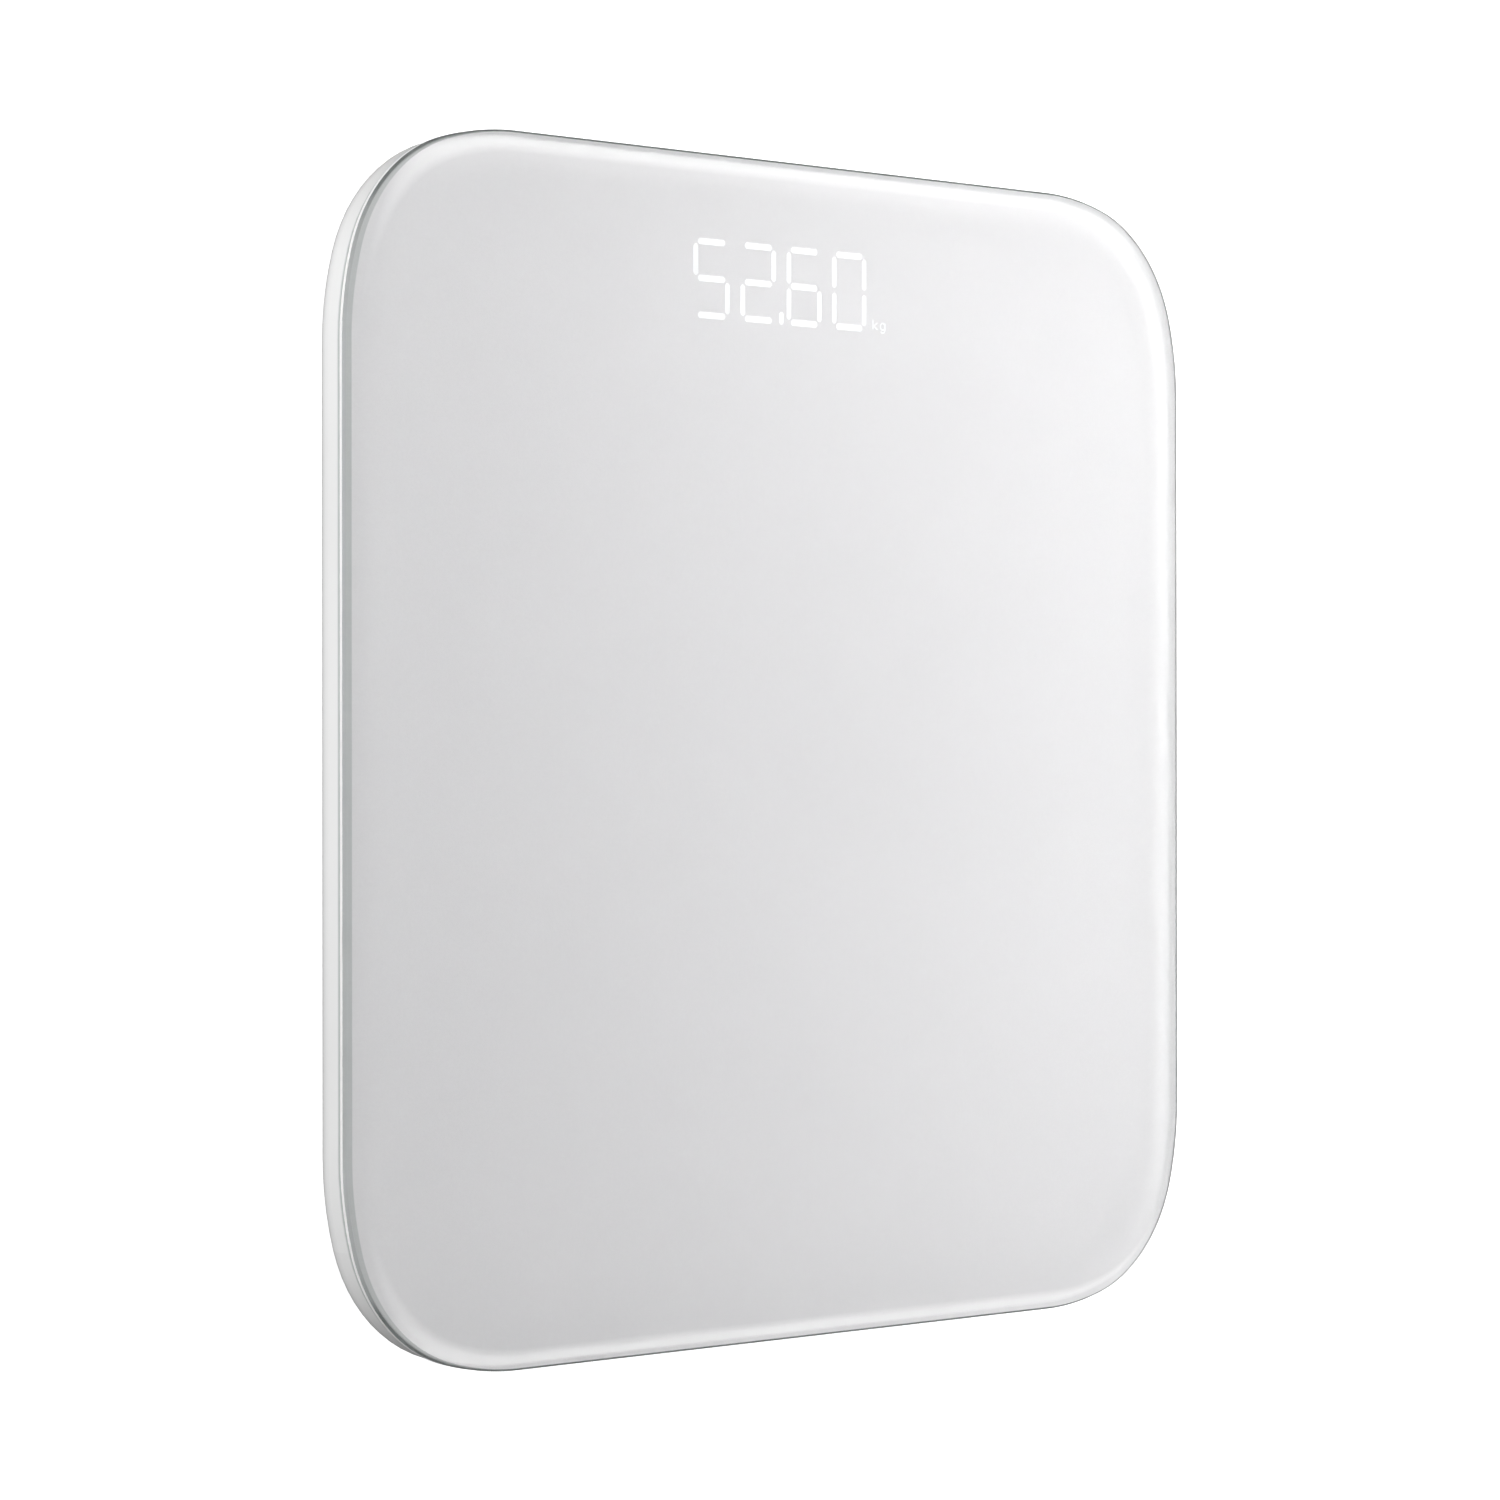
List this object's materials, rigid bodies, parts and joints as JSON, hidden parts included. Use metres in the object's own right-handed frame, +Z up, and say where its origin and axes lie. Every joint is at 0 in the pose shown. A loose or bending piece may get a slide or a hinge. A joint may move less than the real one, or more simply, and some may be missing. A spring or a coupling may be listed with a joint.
{
  "type": "digital bathroom scale",
  "caption": "Square glass bathroom scale with rounded corners, a hidden lit digit display, a white moulded base, sprung load-cell feet, a unit button and a hinged battery door.",
  "frame": {"origin": "on the floor under the middle of the platform", "axes": "+Z up, +Y towards the display edge (the toe end), +X to the right of a person standing on it"},
  "size_m": [0.28, 0.28, 0.022],
  "materials": {
    "clear_glass": "clear toughened glass with a faint green edge",
    "white_print": "white fired print on the back of the glass",
    "tape": "foam tape",
    "shell": "smooth white moulding",
    "reflector": "matt white moulding",
    "lit_resin": "lit resin",
    "film": "frosted film",
    "board": "solder mask",
    "chip": "moulded package",
    "screw_steel": "zinc plated",
    "cell_steel": "stamped spring steel",
    "spring_steel": "nickel plated wire",
    "contact": "plated strip",
    "battery_can": "plain sleeve",
    "supply_lead": "insulation",
    "cell_cable": "insulation",
    "gauge": "sealing compound",
    "bracket": "moulded carrier",
    "foot_cap": "fine moulded texture",
    "foot_rubber": "grey rubber",
    "door": "fine moulded texture",
    "button": "smooth moulding",
    "plunger": "moulded plunger"
  },
  "bodies": {
    "platform": {"glass_platform": "clear_glass", "glass_print": "white_print", "bond_tape": "tape", "base_shell": "shell", "display_frame": "reflector", "display_segments": "lit_resin", "display_diffuser": "film", "main_board": "board", "board_chips": "chip", "board_screws": "screw_steel", "battery_wires": "supply_lead", "battery_1": "battery_can", "battery_2": "battery_can", "battery_3": "battery_can", "battery_contacts": "contact", "battery_springs": "spring_steel", "unit_switch": "chip", "strain_gauges": "gauge", "bracket_screws": "screw_steel", "load_cell_toe_left": "cell_steel", "cell_bracket_toe_left": "bracket", "cell_cable_toe_left": "cell_cable", "load_cell_toe_right": "cell_steel", "cell_bracket_toe_right": "bracket", "cell_cable_toe_right": "cell_cable", "load_cell_heel_left": "cell_steel", "cell_bracket_heel_left": "bracket", "cell_cable_heel_left": "cell_cable", "load_cell_heel_right": "cell_steel", "cell_bracket_heel_right": "bracket", "cell_cable_heel_right": "cell_cable"},
    "battery_door": {"battery_door": "door"},
    "unit_button": {"unit_button": "button", "switch_plunger": "plunger"},
    "foot_toe_left": {"foot_cap_toe_left": "foot_cap", "foot_pad_toe_left": "foot_rubber", "foot_screw_toe_left": "screw_steel"},
    "foot_toe_right": {"foot_cap_toe_right": "foot_cap", "foot_pad_toe_right": "foot_rubber", "foot_screw_toe_right": "screw_steel"},
    "foot_heel_left": {"foot_cap_heel_left": "foot_cap", "foot_pad_heel_left": "foot_rubber", "foot_screw_heel_left": "screw_steel"},
    "foot_heel_right": {"foot_cap_heel_right": "foot_cap", "foot_pad_heel_right": "foot_rubber", "foot_screw_heel_right": "screw_steel"}
  },
  "joints": [
    {"name": "foot_toe_left_press", "type": "slide", "parent": "platform", "child": "foot_toe_left", "axis": [0, 0, 1], "range_m": [0, 0.0006], "stiffness_N_per_m": 1750, "springref_m": -0.0034, "deforming": ["load_cell_toe_left"]},
    {"name": "foot_toe_right_press", "type": "slide", "parent": "platform", "child": "foot_toe_right", "axis": [0, 0, 1], "range_m": [0, 0.0006], "stiffness_N_per_m": 1750, "springref_m": -0.0034, "deforming": ["load_cell_toe_right"]},
    {"name": "foot_heel_left_press", "type": "slide", "parent": "platform", "child": "foot_heel_left", "axis": [0, 0, 1], "range_m": [0, 0.0006], "stiffness_N_per_m": 1750, "springref_m": -0.0034, "deforming": ["load_cell_heel_left"]},
    {"name": "foot_heel_right_press", "type": "slide", "parent": "platform", "child": "foot_heel_right", "axis": [0, 0, 1], "range_m": [0, 0.0006], "stiffness_N_per_m": 1750, "springref_m": -0.0034, "deforming": ["load_cell_heel_right"]},
    {"name": "unit_button_press", "type": "slide", "parent": "platform", "child": "unit_button", "axis": [0, 0, 1], "range_m": [0, 0.0005], "stiffness_N_per_m": 2000},
    {"name": "battery_door_swing", "type": "hinge", "parent": "platform", "child": "battery_door", "pos_m": [0, 0.01825, 0.0045], "axis": [-1, 0, 0], "range_deg": [0, 85]}
  ]
}
